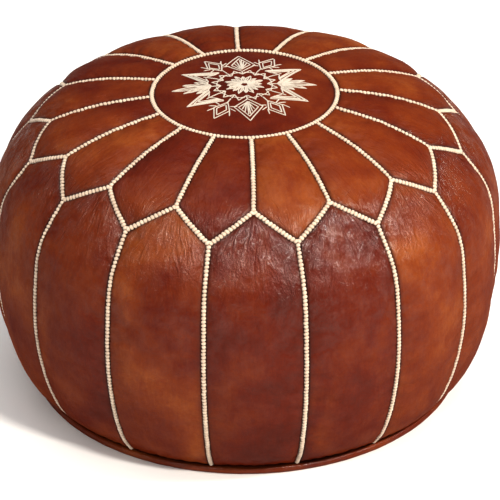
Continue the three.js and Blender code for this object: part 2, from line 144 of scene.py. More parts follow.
def medallion_top(r):
    edge = SEAM_PROFILE[RING][0] * MM
    return SEAM_PROFILE[RING][1] * MM + MEDALLION_CROWN * (1 - (r / edge) ** 2)


# --- Noise and the irregularities of handwork -----------------------------------------------------


def noise_at(points, size, seed=0.0):
    """Smooth noise from -1 to 1 whose lumps are about size across."""
    flat = np.asarray(points).reshape(-1, 3) / size + seed
    values = np.fromiter((noise.noise(p) for p in flat.tolist()), float, len(flat))
    return values.reshape(np.asarray(points).shape[:-1])


TOP_TWIST = math.radians(1.8)
BACK_SHOULDER, LEFT_BELLY = 3.5 * MM, 1.5 * MM  # how far the cover stands out there
SHOULDER_BAND = (275 * MM, 38 * MM)  # height of its middle, and its reach up and down
BELLY_BAND = (170 * MM, 90 * MM)
INNERMOST_BULGE = 150 * MM


def band_share(z, middle, reach):
    return np.exp(-(((z - middle) / reach) ** 2))


def handmade(points):
    """The pouf's own unevenness: its top is twisted a little, and its shoulders aren't quite even."""
    p = np.array(points, float)
    r = np.hypot(p[:, 0], p[:, 1])
    angle = np.arctan2(p[:, 1], p[:, 0])
    ring_radius, zigzag_radius = SEAM_PROFILE[RING][0] * MM, SEAM_PROFILE[ZIGZAG_POINT][0] * MM
    on_top = p[:, 2] > SEAM_PROFILE[ZIGZAG_POINT][1] * MM - 20 * MM
    share = np.clip((zigzag_radius - r) / (zigzag_radius - ring_radius), 0, 1)
    twist = TOP_TWIST * share * on_top
    outside = r > INNERMOST_BULGE
    shoulder = band_share(p[:, 2], *SHOULDER_BAND) * outside
    belly = band_share(p[:, 2], *BELLY_BAND) * outside
    back, left = (1 + np.sin(angle)) / 2, np.clip(-np.cos(angle), 0, 1)
    r = r + BACK_SHOULDER * shoulder * back + LEFT_BELLY * belly * left
    p[:, 0], p[:, 1] = r * np.cos(angle + twist), r * np.sin(angle + twist)
    return p


# --- Meshes ---------------------------------------------------------------------------------------


def grid_faces(columns, rows, first=0, inward=False):
    """Quads of a (columns + 1) x (rows + 1) grid, whose columns run to the right and rows down."""
    i, j = np.meshgrid(np.arange(columns), np.arange(rows), indexing="ij")
    a = (first + i * (rows + 1) + j).ravel()
    quads = np.stack([a, a + 1, a + rows + 2, a + rows + 1], -1)
    return quads[:, ::-1] if inward else quads


def rim_faces(columns, rows, shift):
    """Quads that join the edge of a grid to the edge of its copy, shift vertices later."""
    index = np.arange((columns + 1) * (rows + 1)).reshape(columns + 1, rows + 1)
    loop = np.r_[index[0, :], index[1:, -1], index[-1, -2::-1], index[-2:0:-1, 0]]
    following = np.roll(loop, -1)
    return np.stack([following, loop, loop + shift, following + shift], -1)


def ring_faces(rings, sides, first=0, closed=False):
    """Quads between rings of vertices that follow one another, with so many vertices in each."""
    faces = []
    for ring in range(rings if closed else rings - 1):
        start, following = first + ring * sides, first + (ring + 1) % rings * sides
        for k in range(sides):
            after = (k + 1) % sides
            faces.append([start + k, start + after, following + after, following + k])
    return faces


def tip_faces(rings, sides, tips):
    """Triangles that close a stack of rings with a vertex at each end."""
    last = (rings - 1) * sides
    faces = []
    for k in range(sides):
        after = (k + 1) % sides
        faces += [[after, k, tips[0]], [last + k, last + after, tips[1]]]
    return faces


def joined(parts):
    """One mesh out of several, each given as vertices, faces and strand values."""
    vertices, faces, strands, first = [], [], [], 0
    for part_vertices, part_faces, part_strands in parts:
        vertices.append(part_vertices)
        strands.append(part_strands)
        faces += [[first + k for k in face] for face in part_faces]
        first += len(part_vertices)
    return np.vstack(vertices), faces, np.vstack(strands)


def slab_faces(columns, rows):
    """Quads of a grid, of the copy behind it, and of the rim between the two."""
    size = (columns + 1) * (rows + 1)
    front, back = grid_faces(columns, rows), grid_faces(columns, rows, size, inward=True)
    return np.vstack([front, back, rim_faces(columns, rows, size)])


def new_object(name, data):
    obj = bpy.data.objects.new(name, data)
    bpy.context.scene.collection.objects.link(obj)
    return obj


def make_object(name, vertices, faces, material, attributes=None, uneven=True):
    """A mesh object, with the cover's own unevenness. The base, the zip and the insides go without."""
    mesh = bpy.data.meshes.new(name)
    points = handmade(vertices) if uneven else np.asarray(vertices)
    mesh.from_pydata(points.tolist(), [], [list(map(int, face)) for face in faces])
    for key, values in (attributes or {}).items():
        layer = mesh.attributes.new(key, "FLOAT_VECTOR", "POINT")
        layer.data.foreach_set("vector", np.asarray(values, np.float32).ravel())
    editable = bmesh.new()
    editable.from_mesh(mesh)
    bmesh.ops.recalc_face_normals(editable, faces=editable.faces)
    editable.to_mesh(mesh)
    editable.free()
    mesh.materials.append(material)
    mesh.shade_smooth()
    return new_object(name, mesh)


def finish_piece(obj, node):
    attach(obj, "pouf")
    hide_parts(node)


def leather_piece(name, layers, faces, skin, mapped, creased, node, uneven=True):
    """A piece of leather with one or two layers of vertices. mapped and creased are the "panel" and
    "crease" values that leather_material reads, the same for every layer."""
    vertices = np.vstack([layer.reshape(-1, 3) for layer in layers])
    values = {"panel": mapped, "crease": creased + 0 * mapped}
    attributes = {key: np.tile(value.reshape(-1, 3), (len(layers), 1)) for key, value in values.items()}
    obj = make_object(name, vertices, faces, skin, attributes, uneven)
    finish_piece(obj, node)
    return obj


# --- Node materials -------------------------------------------------------------------------------


def connect(tree, node, links):
    """Gives inputs of a node a value each, or another node's output."""
    for key, value in links.items():
        if isinstance(value, bpy.types.NodeSocket):
            tree.links.new(value, node.inputs[key])
        else:
            node.inputs[key].default_value = value


def add_node(tree, kind, links=None, **settings):
    node = tree.nodes.new(kind)
    for key, value in settings.items():
        setattr(node, key, value)
    connect(tree, node, links or {})
    return node


def object_place(tree):
    return add_node(tree, "ShaderNodeTexCoord").outputs["Object"]


def mapped_place(tree, vector, **settings):
    return add_node(tree, "ShaderNodeMapping", {"Vector": vector, **settings}).outputs["Vector"]


def mesh_vector(tree, name):
    return add_node(tree, "ShaderNodeAttribute", attribute_name=name).outputs["Vector"]


def math_node(tree, operation, a, b, c=0.0, clamp=False):
    links = {0: a, 1: b, 2: c}
    return add_node(tree, "ShaderNodeMath", links, operation=operation, use_clamp=clamp).outputs[0]


def range_node(tree, value, low, high, start=0.0, end=1.0):
    """low where value is start, high where it is end, and in proportion between them."""
    links = {"Value": value, "To Min": low, "To Max": high, "From Min": start, "From Max": end}
    return add_node(tree, "ShaderNodeMapRange", links).outputs[0]


def blend_node(tree, share, first, second):
    return add_node(tree, "ShaderNodeMix", {0: share, 6: first, 7: second}, data_type="RGBA").outputs[2]


def ramp_node(tree, factor, stops):
    ramp = add_node(tree, "ShaderNodeValToRGB", {"Fac": factor})
    elements = ramp.color_ramp.elements
    while len(elements) < len(stops):
        elements.new(0.5)
    for element, (position, color) in zip(elements, stops):
        element.position = position
        element.color = (*color, 1)
    return ramp.outputs["Color"]


def noise_node(tree, vector, scale, detail=2.0, roughness=0.5, distortion=0.0):
    links = {"Vector": vector, "Scale": scale, "Detail": detail}
    links |= {"Roughness": roughness, "Distortion": distortion}
    return add_node(tree, "ShaderNodeTexNoise", links).outputs["Fac"]


def bump_node(tree, height, distance, strength=1.0, normal=None):
    links = {"Height": height, "Distance": distance, "Strength": strength}
    if normal is not None:
        links["Normal"] = normal
    return add_node(tree, "ShaderNodeBump", links).outputs["Normal"]


def new_material(name, **shader):
    material = bpy.data.materials.new(name)
    material.use_nodes = True
    tree = material.node_tree
    principled = tree.nodes["Principled BSDF"]
    for key, value in shader.items():
        principled.inputs[key.replace("_", " ")].default_value = value
    return material, tree, principled


LEATHER_TONES = [
    (0.0, (0.056, 0.0060, 0.0020)),
    (0.3, (0.114, 0.0130, 0.0030)),
    (0.55, (0.178, 0.0330, 0.0058)),
    (0.8, (0.275, 0.0760, 0.0150)),
    (1.0, (0.400, 0.1350, 0.0360)),
]
# near-black blended in along the seams: burnished dye, and painted shade in the seam valleys
VALLEY_DYE_AND_SHADE = (0.02, 0.005, 0.003, 1)


def leather_material(name, tone, seed):
    """Waxed, hand-dyed leather. tone from 0 to 1 is how light this piece of hide is. Its mesh carries
    "panel": the way across, the way down and how much it is darkened along its seams, by burnished dye
    and painted shade in the seam valleys, and "crease": how much the hide is pulled into creases, and
    the way across and along them, as they fan out from a tip."""
    material, tree, principled = new_material(
        name, Coat_Roughness=0.19, Coat_IOR=2.4, Specular_IOR_Level=0.0
    )
    vector = mapped_place(tree, object_place(tree), Location=(seed, -seed, seed * 0.7))
    panel, crease = mesh_vector(tree, "panel"), mesh_vector(tree, "crease")
    burnish_and_shade = add_node(tree, "ShaderNodeSeparateXYZ", {"Vector": panel}).outputs["Z"]
    crease_share = add_node(tree, "ShaderNodeSeparateXYZ", {"Vector": crease}).outputs["X"]
    fold_place = mapped_place(tree, crease, Location=(0, seed, seed * 3), Scale=(0, 150, 42))
    fibre_place = mapped_place(tree, panel, Location=(seed, seed * 2, 0), Scale=(300, 60, 0))

    clouds = noise_node(tree, vector, 11, 2, 0.5, 0.6)
    blotches = noise_node(tree, vector, 34, 4, 0.6, 0.4)
    fibres = noise_node(tree, fibre_place, 1.0, 4, 0.6, 0.5)
    mottle = noise_node(tree, vector, 260, 3, 0.6)
    level = tone - 0.72
    for source, weight in ((clouds, 0.85), (blotches, 0.36), (fibres, 0.14), (mottle, 0.14)):
        level = math_node(tree, "MULTIPLY_ADD", source, weight, level)
    dyed = ramp_node(tree, level, LEATHER_TONES)

    # hands and wear polish the wax where the hide is pulled tight, most of all on the ridges
    fold_noise = noise_node(tree, fold_place, 1.0, 4, 0.55, 0.9)
    patches = math_node(tree, "MULTIPLY", noise_node(tree, vector, 75, 4, 0.65, 0.6), 1.3)
    worn = math_node(tree, "MULTIPLY_ADD", fold_noise, 0.7, patches)
    rubbed = range_node(tree, worn, 0.06, 0.95, start=0.84, end=1.22)
    polish = math_node(tree, "MULTIPLY_ADD", rubbed, math_node(tree, "POWER", crease_share, 1.8), 0.08)

    pores = add_node(tree, "ShaderNodeTexVoronoi", {"Vector": vector, "Scale": 620}, feature="SMOOTH_F1")
    grain = bump_node(tree, pores.outputs["Distance"], 0.12 * MM, 0.5)
    fine = bump_node(tree, noise_node(tree, vector, 420, 4, 0.65, 0.6), 0.4 * MM, 0.6, grain)
    crinkle = math_node(tree, "MULTIPLY", noise_node(tree, vector, 210, 4, 0.7, 1.2), crease_share)
    crinkled = bump_node(tree, crinkle, 2.2 * MM, 0.9, fine)
    ridges = math_node(tree, "MULTIPLY", fold_noise, crease_share)
    folds = bump_node(tree, ridges, 5.5 * MM, 0.8, crinkled)
    waves = bump_node(tree, noise_node(tree, vector, 60, 3, 0.55, 0.8), 1.8 * MM, 0.5, folds)
    # the base colour darkens towards the seams: burnished dye, and painted shade in the seam valleys
    look = {"Base Color": blend_node(tree, burnish_and_shade, dyed, VALLEY_DYE_AND_SHADE), "Coat Weight": polish}
    look |= {"Roughness": range_node(tree, blotches, 0.30, 0.45), "Normal": waves, "Coat Normal": waves}
    connect(tree, principled, look)
    return material


def thread_material(name, color, dark, sheen=0.3, roughness=0.75):
    """Thick thread: its plies show as fine slanted ridges, and it is a little grubby in places. Its
    second strand value adds painted shade where it dips under and into the leather.
    """
    material, tree, principled = new_material(
        name, Roughness=roughness, Sheen_Weight=sheen, Sheen_Roughness=0.5, Specular_IOR_Level=0.35
    )
    place = object_place(tree)
    split = add_node(tree, "ShaderNodeSeparateXYZ", {"Vector": mesh_vector(tree, "strand")})
    plies = math_node(tree, "SINE", split.outputs[0], 0)
    soil = noise_node(tree, place, 90, 3, 0.6)
    fuzz = noise_node(tree, place, 1800, 2, 0.6)
    soiled = math_node(tree, "MULTIPLY_ADD", soil, 0.9, -0.2)
    # darker with real dirt, and with the painted shade of the second strand value
    shade = math_node(tree, "ADD", soiled, split.outputs[1], clamp=True)
    ridges = bump_node(tree, plies, 0.12 * MM, 0.5)
    look = {"Base Color": blend_node(tree, shade, (*color, 1), (*dark, 1))}
    connect(tree, principled, look | {"Normal": bump_node(tree, fuzz, 0.15 * MM, 0.5, ridges)})
    return material


# --- Leather panels -------------------------------------------------------------------------------

SIM_COLUMNS = 20
TOP_ROWS = 22
SIDE_ROWS = 56
SLACK = 0.022  # how much longer the leather is than the way between its seams, at the most
SIM_FRAMES = 24
CLOTH_SETTINGS = {
    "quality": 6,
    "mass": 0.3,
    "tension_stiffness": 30,
    "compression_stiffness": 30,
    "shear_stiffness": 10,
    "bending_stiffness": 0.6,
    "tension_damping": 8,
    "compression_damping": 8,
    "shear_damping": 8,
    "use_pressure": True,
    "uniform_pressure_force": 60,
    "vertex_group_mass": "held",
    "vertex_group_shrink": "taut",
    "shrink_min": -SLACK,
    "shrink_max": 0,
}
CROWN = 5 * MM
SWELL_LIMIT = 12 * MM


class Panel:
    """One leather piece between two seams a pitch apart. top and bottom give the distance s of its
    upper and lower edge at a share from 0, on its centre line, to 1, on its side seams."""

    def __init__(self, name, centre, top, bottom, rows, slanted_edge):
        self.name, self.centre, self.top, self.bottom = name, centre, top, bottom
        self.rows, self.slanted_edge = rows, slanted_edge

    def seam_grid(self):
        """Its u and v, from 0 to 1 across and down, on a grid whose edges lie on the seams."""
        across, down = np.linspace(0, 1, SIM_COLUMNS + 1), np.linspace(0, 1, self.rows + 1)
        return np.meshgrid(across, down, indexing="ij")

    def angle_s(self, u, v):
        across = 2 * u - 1
        top, bottom = self.top(np.abs(across)), self.bottom(np.abs(across))
        return self.centre + across * PITCH / 2, top + (bottom - top) * v


def ring_seam(share):
    return 0 * share


def zigzag(share):
    return S_OF[ZIGZAG_POINT] - ZIGZAG_DROP * share


def zigzag_from_tip(share):
    return zigzag(1 - share)


def base_seam(share):
    return S_OF[BASE] + 0 * share


panels = []
for index in range(PANELS):
    top, side = f"top_panel_{index + 1:02d}", f"side_panel_{index + 1:02d}"
    panels.append(Panel(top, FRONT + (index + 0.5) * PITCH, ring_seam, zigzag, TOP_ROWS, "bottom"))
    panels.append(Panel(side, FRONT + index * PITCH, zigzag_from_tip, base_seam, SIDE_ROWS, "top"))


def swell(u, v):
    """The plain crowned shape of a full panel."""
    return CROWN * np.sin(math.pi * u) ** 0.8 * (1 - (2 * v - 1) ** 6)


def puffed_by_cloth():
    """Cloth pressed out by the stuffing, with every seam held where it is sewn."""
    starts, faces, held, slack = [], [], [], []
    count = 0
    for panel in panels:
        u, v = panel.seam_grid()
        points = cover_point(*panel.angle_s(u, v), 0.35 * swell(u, v))
        points = points + cover_normal(*panel.angle_s(u, v)) * (
            0.8 * MM * noise_at(points, 0.03) * np.sin(math.pi * u) * np.sin(math.pi * v)
        )[..., None]
        starts.append(points)
        faces.append(grid_faces(SIM_COLUMNS, panel.rows, count))
        on_seam = (u == 0) | (u == 1) | (v == 0) | (v == 1)
        held.append(np.flatnonzero(on_seam) + count)
        slack.append((0.75 + 0.5 * noise_at(points, 0.12, 3.7)).ravel())
        count += u.size
    mesh = bpy.data.meshes.new("cover_cloth")
    mesh.from_pydata(np.vstack([p.reshape(-1, 3) for p in starts]).tolist(), [], np.vstack(faces).tolist())
    cloth = new_object("cover_cloth", mesh)
    cloth.vertex_groups.new(name="held").add(np.concatenate(held).tolist(), 1.0, "REPLACE")
    taut_group = cloth.vertex_groups.new(name="taut")
    for i, share in enumerate(np.clip(np.concatenate(slack), 0, 1).tolist()):
        taut_group.add([i], 1 - share, "REPLACE")
    modifier = cloth.modifiers.new("Cloth", "CLOTH")
    for key, value in CLOTH_SETTINGS.items():
        setattr(modifier.settings, key, value)
    modifier.settings.effector_weights.gravity = 0
    modifier.collision_settings.use_collision = False
    modifier.point_cache.frame_start = 1
    modifier.point_cache.frame_end = SIM_FRAMES
    for step in range(1, SIM_FRAMES + 1):
        bpy.context.scene.frame_set(step)
    settled = cloth.evaluated_get(bpy.context.evaluated_depsgraph_get()).data
    points = np.empty(len(settled.vertices) * 3)
    settled.vertices.foreach_get("co", points)
    bpy.data.objects.remove(cloth)
    bpy.context.scene.frame_set(1)
    grids, first = [], 0
    for panel, start in zip(panels, starts):
        size = start[..., 0].size
        grid = points.reshape(-1, 3)[first : first + size].reshape(start.shape)
        u, v = panel.seam_grid()
        seam_level = cover_point(*panel.angle_s(u, v))
        move = grid - seam_level
        length = np.linalg.norm(move, axis=-1, keepdims=True)
        grids.append(seam_level + move * np.minimum(1, SWELL_LIMIT / np.maximum(length, 1e-9)))
        first += size
    return grids


def cubic_weights(positions, count):
    """Rows of weights that sample count evenly spaced values at positions from 0 to 1, smoothly."""
    x = np.clip(positions, 0, 1) * (count - 1)
    base = np.clip(np.floor(x).astype(int), 0, count - 2)
    t = x - base
    shares = [
        (-t + 2 * t**2 - t**3) / 2,
        (2 - 5 * t**2 + 3 * t**3) / 2,
        (t + 4 * t**2 - 3 * t**3) / 2,
        (-(t**2) + t**3) / 2,
    ]
    weights = np.zeros((len(x), count))
    for k, share in enumerate(shares):
        near = base + k - 1
        inside = np.clip(near, 0, count - 1)
        np.add.at(weights, (np.arange(len(x)), inside), share)
        # beyond an end, the values go on in a straight line
        low, high = near < 0, near > count - 1
        for mask, end, inner in ((low, 0, 1), (high, count - 1, count - 2)):
            rows = np.flatnonzero(mask)
            weights[rows, end] += share[rows]
            weights[rows, inner] -= share[rows]
    return weights


EDGE_STEPS = np.array([0, 0.35, 0.9, 1.6, 2.6, 4.2]) * MM  # rows of vertices in from a turned edge
FINE_STEP = 3.0 * MM


def spread(length):
    """Distances from 0 to length, close together near both ends."""
    inner = np.linspace(EDGE_STEPS[-1], length - EDGE_STEPS[-1], max(4, round(length / FINE_STEP)))
    return np.r_[EDGE_STEPS[:-1], inner, length - EDGE_STEPS[-2::-1]]


def roll_depth(distance):
    """How far the leather has turned in at a distance from its edge."""
    x = np.clip(1 - distance / EDGE_ROLL, 0, 1)
    return EDGE_ROLL * (1 - np.sqrt(np.clip(1 - x**2, 0, 1)))


def burnish_and_seam_shade(distance):
    """How much darker a piece is at a distance from its edge: partly burnished dye, and partly
    painted shade in the valley along its seam.
    """
    valley = np.exp(-((np.clip(distance - 0.8 * MM, 0, None) / (2.2 * MM)) ** 2))
    return 0.88 * valley + 0.12 * np.exp(-distance / (9 * MM))


def grid_normals(points):
    du, dv = np.gradient(points, axis=0), np.gradient(points, axis=1)
    normals = np.cross(dv, du)
    return normals / np.maximum(np.linalg.norm(normals, axis=-1, keepdims=True), 1e-12)


ZIGZAG_RUN = (SEAM_PROFILE[SPOKE_END][0] + SEAM_PROFILE[ZIGZAG_POINT][0]) / 2 * MM * PITCH / 2
SLANT = math.cos(math.atan2(ZIGZAG_DROP, ZIGZAG_RUN))


def fine_panel(panel, grid, material, pulled):
    """The finished piece: finer, wrinkled, with its edges turned in along the seams. pulled is how
    strongly it is creased towards its tip."""
    length = float(panel.bottom(0.5) - panel.top(0.5))
    widest_radius = float(np.max(profile_at(np.linspace(panel.top(1), panel.bottom(1), 20))[0]))
    widest = 2 * widest_radius * math.sin(PITCH / 2)
    top_slant, bottom_slant = (SLANT, 1) if panel.slanted_edge == "top" else (1, SLANT)
    top_tuck, bottom_tuck = SEAM_TUCK / top_slant, SEAM_TUCK / bottom_slant
    down = spread(length - top_tuck - bottom_tuck)
    v = (down + top_tuck) / length
    rows = cubic_weights(v, panel.rows + 1)
    by_row = np.einsum("kj,ijc->kic", rows, grid)
    columns = len(spread(widest)) - 1
    points = np.empty((columns + 1, len(v), 3))
    u = np.empty((columns + 1, len(v)))
    for k, line in enumerate(by_row):
        width = float(np.linalg.norm(np.diff(line, axis=0), axis=1).sum())
        even = spread(widest)
        inner = slice(len(EDGE_STEPS) - 1, len(even) - len(EDGE_STEPS) + 1)
        room = width - 2 * SEAM_TUCK
        even[inner] = np.linspace(EDGE_STEPS[-1], room - EDGE_STEPS[-1], len(even[inner]))
        even[len(even) - len(EDGE_STEPS) + 1 :] = room - EDGE_STEPS[-2::-1]
        u[:, k] = (even + SEAM_TUCK) / width
        points[:, k] = cubic_weights(u[:, k], SIM_COLUMNS + 1) @ line
    angle, s = panel.angle_s(u, v[None, :] + 0 * u)
    share = np.abs(2 * u - 1)
    radius = profile_at(s)[0]
    to_side = (1 - share) * PITCH / 2 * radius - SEAM_TUCK
    to_top = (s - panel.top(share)) * top_slant - SEAM_TUCK
    to_bottom = (panel.bottom(share) - s) * bottom_slant - SEAM_TUCK
    edge = np.clip(np.minimum(np.minimum(to_side, to_top), to_bottom), 0, None)
    normals = grid_normals(points)
    calm = 1 - np.exp(-edge / (4 * MM))
    across = (angle - panel.centre) * radius
    seed = rng.uniform(0, 50)
    streaks = np.stack([across * 1.0, s * 0.22, 0 * s], -1)
    wrinkles = 0.5 * MM * noise_at(streaks, 0.009, seed) + 0.25 * MM * noise_at(streaks, 0.0045, seed + 9)
    if panel.slanted_edge == "top":
        fade = np.exp(-np.clip(s - panel.top(share), 0, None) / (55 * MM))
    else:
        fade = np.exp(-np.clip(panel.bottom(share) - s, 0, None) / (25 * MM))
    crease = 0.15 + pulled * fade * (1 - 0.55 * np.exp(-edge / (8 * MM)))
    dents = 0.9 * MM * noise_at(points, 0.045, seed) + 0.35 * MM * noise_at(points, 0.018, seed + 5)
    lift = calm * (wrinkles * crease + dents) - roll_depth(edge)
    outer = points + normals * lift[..., None]
    inner_side = points - normals * (LEATHER + 1.2 * roll_depth(edge))[..., None]
    # the third value darkens the leather near its edges: burnished dye and painted seam shade
    mapped = np.stack([across, s, burnish_and_seam_shade(edge)], -1)
    from_tip = s - panel.top(0) if panel.slanted_edge == "top" else panel.bottom(0) - s
    from_tip = np.clip(from_tip, 0, None) + 22 * MM
    fan = np.arctan2(across, from_tip) * 80 * MM
    creased = np.stack([crease + 0 * s, fan, np.hypot(across, from_tip)], -1)
    name, faces = panel.name.replace("panel", "leather"), slab_faces(columns, len(v) - 1)
    obj = leather_piece(
        name, (outer, inner_side), faces, material, mapped, creased, panel.name
    )


# How light each piece of hide is, from 0 to 1, around the pouf from the front to the right, and how
# strongly each side piece is creased below its tip.
TOP_TONES = [0.58, 0.46, 0.55, 0.38, 0.50, 0.42, 0.55, 0.36, 0.44, 0.52, 0.37, 0.48, 0.42, 0.47, 0.33, 0.34]
SIDE_TONES = [0.28, 0.29, 0.51, 0.44, 0.38, 0.50, 0.42, 0.34, 0.48, 0.38, 0.53, 0.40, 0.50, 0.45, 0.34, 0.45]
SIDE_CREASES = [0.85, 1.0, 0.75, 0.6, 0.7, 0.85, 0.6, 0.75, 0.8, 0.65, 0.85, 0.7, 0.8, 0.5, 0.55, 0.65]
TOP_CREASE = 0.5

grids = puffed_by_cloth()
for panel, grid in zip(panels, grids):
    kind, number = panel.name.split("_panel_")
    tone = (TOP_TONES if kind == "top" else SIDE_TONES)[int(number) - 1]
    skin = leather_material(f"leather_{kind}_{number}", tone, float(rng.uniform(0, 9)))
    fine_panel(panel, grid, skin, TOP_CREASE if kind == "top" else SIDE_CREASES[int(number) - 1])

# --- Medallion ------------------------------------------------------------------------------------


MEDALLION_EDGE = SEAM_PROFILE[RING][0] * MM - SEAM_TUCK


def medallion_surface(x, y):
    """Height of the medallion's leather, with its soft dents and its turned edge."""
    r = np.hypot(x, y)
    edge = np.clip(MEDALLION_EDGE - r, 0, None)
    flat = np.stack([x, y, 0 * x], -1)
    dents = 0.8 * MM * noise_at(flat, 0.05, 4) + 0.3 * MM * noise_at(flat, 0.016, 8)
    return medallion_top(r) + dents * (1 - np.exp(-edge / (6 * MM))) - roll_depth(edge)


def medallion_piece():
    segments = 160
    inward = spread(2 * MEDALLION_EDGE)
    radii = MEDALLION_EDGE - inward[inward < MEDALLION_EDGE - 1 * MM][::-1]
    angles = np.linspace(0, 2 * math.pi, segments, endpoint=False)
    r, a = np.meshgrid(radii, angles, indexing="ij")
    x, y = np.r_[0, (r * np.cos(a)).ravel()], np.r_[0, (r * np.sin(a)).ravel()]
    top = np.stack([x, y, medallion_surface(x, y)], -1)
    under = top - (0, 0, LEATHER)
    count = len(top)
    last = 1 + (len(radii) - 1) * segments
    faces = ring_faces(len(radii), segments, 1) + ring_faces(len(radii), segments, count + 1)
    for k in range(segments):
        after = (k + 1) % segments
        faces += [[first, first + 1 + k, first + 1 + after] for first in (0, count)]
        faces.append([last + after, last + k, count + last + k, count + last + after])
    edge = MEDALLION_EDGE - np.hypot(x, y)
    # the third value darkens the leather near its edge: burnished dye and painted seam shade
    mapped = np.stack([x, y, burnish_and_seam_shade(edge)], -1)
    skin = leather_material("leather_medallion", 0.33, 5.5)
    obj = leather_piece(
        "medallion_leather", (top, under), faces, skin, mapped, (0.2, 0, 0), "medallion"
    )


medallion_piece()

# --- Stitches -------------------------------------------------------------------------------------

CREAM = thread_material("thread_cream", (0.71, 0.585, 0.465), (0.33, 0.215, 0.148))
BEAD_SEGMENTS = 10
BEAD_RINGS = 7


def bead_template():
    """One plump stitch: x across the seam, y along it, z out. It arches down into the leather."""
    power = 0.82
    vertices = []
    for ring in range(1, BEAD_RINGS):
        lat = math.pi * ring / BEAD_RINGS - math.pi / 2
        for k in range(BEAD_SEGMENTS):
            lon = 2 * math.pi * k / BEAD_SEGMENTS
            x = math.sin(lat)
            y = math.cos(lat) * math.cos(lon)
            z = math.cos(lat) * math.sin(lon)
            vertices.append([math.copysign(abs(c) ** power, c) for c in (x, y, z)])
    vertices += [[-1, 0, 0], [1, 0, 0]]
    points = np.array(vertices)
    points[:, 2] -= 0.55 * points[:, 0] ** 2
    tips = (len(points) - 2, len(points) - 1)
    rings, sides = BEAD_RINGS - 1, BEAD_SEGMENTS
    return points, ring_faces(rings, sides) + tip_faces(rings, sides, tips)


BEAD_POINTS, BEAD_FACES = bead_template()
BEAD_SIZE = np.array([STITCH_HALF_WIDTH, STITCH_PITCH * 0.505, STITCH_HALF_HEIGHT])


def run_along(path):
    """The distance along a path at each of its points."""
    return np.r_[0, np.cumsum(np.linalg.norm(np.diff(path, axis=0), axis=1))]


def sampled(at, run, values):
    return np.stack([np.interp(at, run, column) for column in values.T], -1)


def stitch_row(path, normals, slant=1, width=1.0):
    """Stitches along a path of closely spaced points: their vertices, faces and strand values."""
    run = run_along(path)
    count = max(1, round(run[-1] / STITCH_PITCH))
    pitch = run[-1] / count
    at = (np.arange(count) + 0.5) * pitch
    centre = sampled(at, run, path)
    out = sampled(at, run, normals)
    along = sampled(at + 1 * MM, run, path) - sampled(at - 1 * MM, run, path)
    along /= np.linalg.norm(along, axis=1, keepdims=True)
    out -= along * (out * along).sum(1, keepdims=True)
    out /= np.linalg.norm(out, axis=1, keepdims=True)
    side = np.cross(along, out)
    beads = []
    for i in range(count):
        turn = slant * STITCH_SLANT + rng.normal(0, 0.06)
        size = BEAD_SIZE * (1 + rng.normal(0, 0.035, 3)) * (width, pitch / STITCH_PITCH, 1)
        p = BEAD_POINTS * size
        x = p[:, 0] * math.cos(turn) - p[:, 1] * math.sin(turn)
        y = p[:, 0] * math.sin(turn) + p[:, 1] * math.cos(turn)
        base = centre[i] + side[i] * rng.normal(0, 0.12 * MM) + out[i] * 0.35 * MM
        points = base + x[:, None] * side[i] + y[:, None] * along[i] + p[:, 2:] * out[i]
        ply = BEAD_POINTS[:, 0] * 5 + BEAD_POINTS[:, 1] * 7
        # painted shade on the bead's underside and towards its ends between neighbouring beads; each bead
        # also gets a slightly different tone
        low = 0.45 * np.clip(0.2 - BEAD_POINTS[:, 2], 0, 1) + 0.25 * np.abs(BEAD_POINTS[:, 1]) ** 3
        strand = np.stack([ply, low + rng.uniform(-0.06, 0.06), 0 * ply], -1)
        beads.append((points, BEAD_FACES, strand))
    return joined(beads)


def threads_piece(name, parts, material, node, uneven=True):
    """One object for many threads or stitches, each given as vertices, faces and strand values."""
    vertices, faces, strands = joined(parts)
    obj = make_object(name, vertices, faces, material, {"strand": strands}, uneven)
    finish_piece(obj, node)


def stitches_piece(name, rows, node):
    """One object for several rows of stitches, each given as (path, normals, slant, width)."""
    threads_piece(name, [stitch_row(*row) for row in rows], CREAM, node)


def cover_line(angles, distances, steps=60):
    """A path along the cover between two points, with its normals."""
    angle = np.linspace(*angles, steps)
    s = np.linspace(*distances, steps)
    return cover_point(angle, s), cover_normal(angle, s)


spokes, zigzags, side_seams = [], [], []
for index in range(PANELS):
    spoke = FRONT + index * PITCH
    spokes.append((*cover_line((spoke, spoke), (STITCH_HALF_WIDTH, S_OF[SPOKE_END] - 0.5 * MM)), 1))
    for way in (-1, 1):
        end = spoke + way * PITCH / 2
        zigzags.append((*cover_line((spoke, end), (S_OF[SPOKE_END], S_OF[ZIGZAG_POINT])), -way, 1.12))
    seam = spoke + PITCH / 2
    side_seams.append((*cover_line((seam, seam), (S_OF[ZIGZAG_POINT] + 1 * MM, S_OF[BASE])), 1))
stitches_piece("spoke_stitches", spokes, "seam_stitching")
stitches_piece("zigzag_stitches", zigzags, "seam_stitching")
stitches_piece("side_stitches", side_seams, "seam_stitching")

circle = np.linspace(0, 2 * math.pi, 721)
ring_path = cover_point(circle, 0 * circle)
ring_normals = np.tile((0.0, 0.0, 1.0), (len(circle), 1))
stitches_piece("ring_stitches", [(ring_path, ring_normals, 1)], "ring_stitching")

# --- Embroidery -----------------------------------------------------------------------------------

SILVER = thread_material("thread_silver", (0.60, 0.53, 0.44), (0.30, 0.23, 0.18), sheen=0.5, roughness=0.55)
TUBE_SIDES = 6


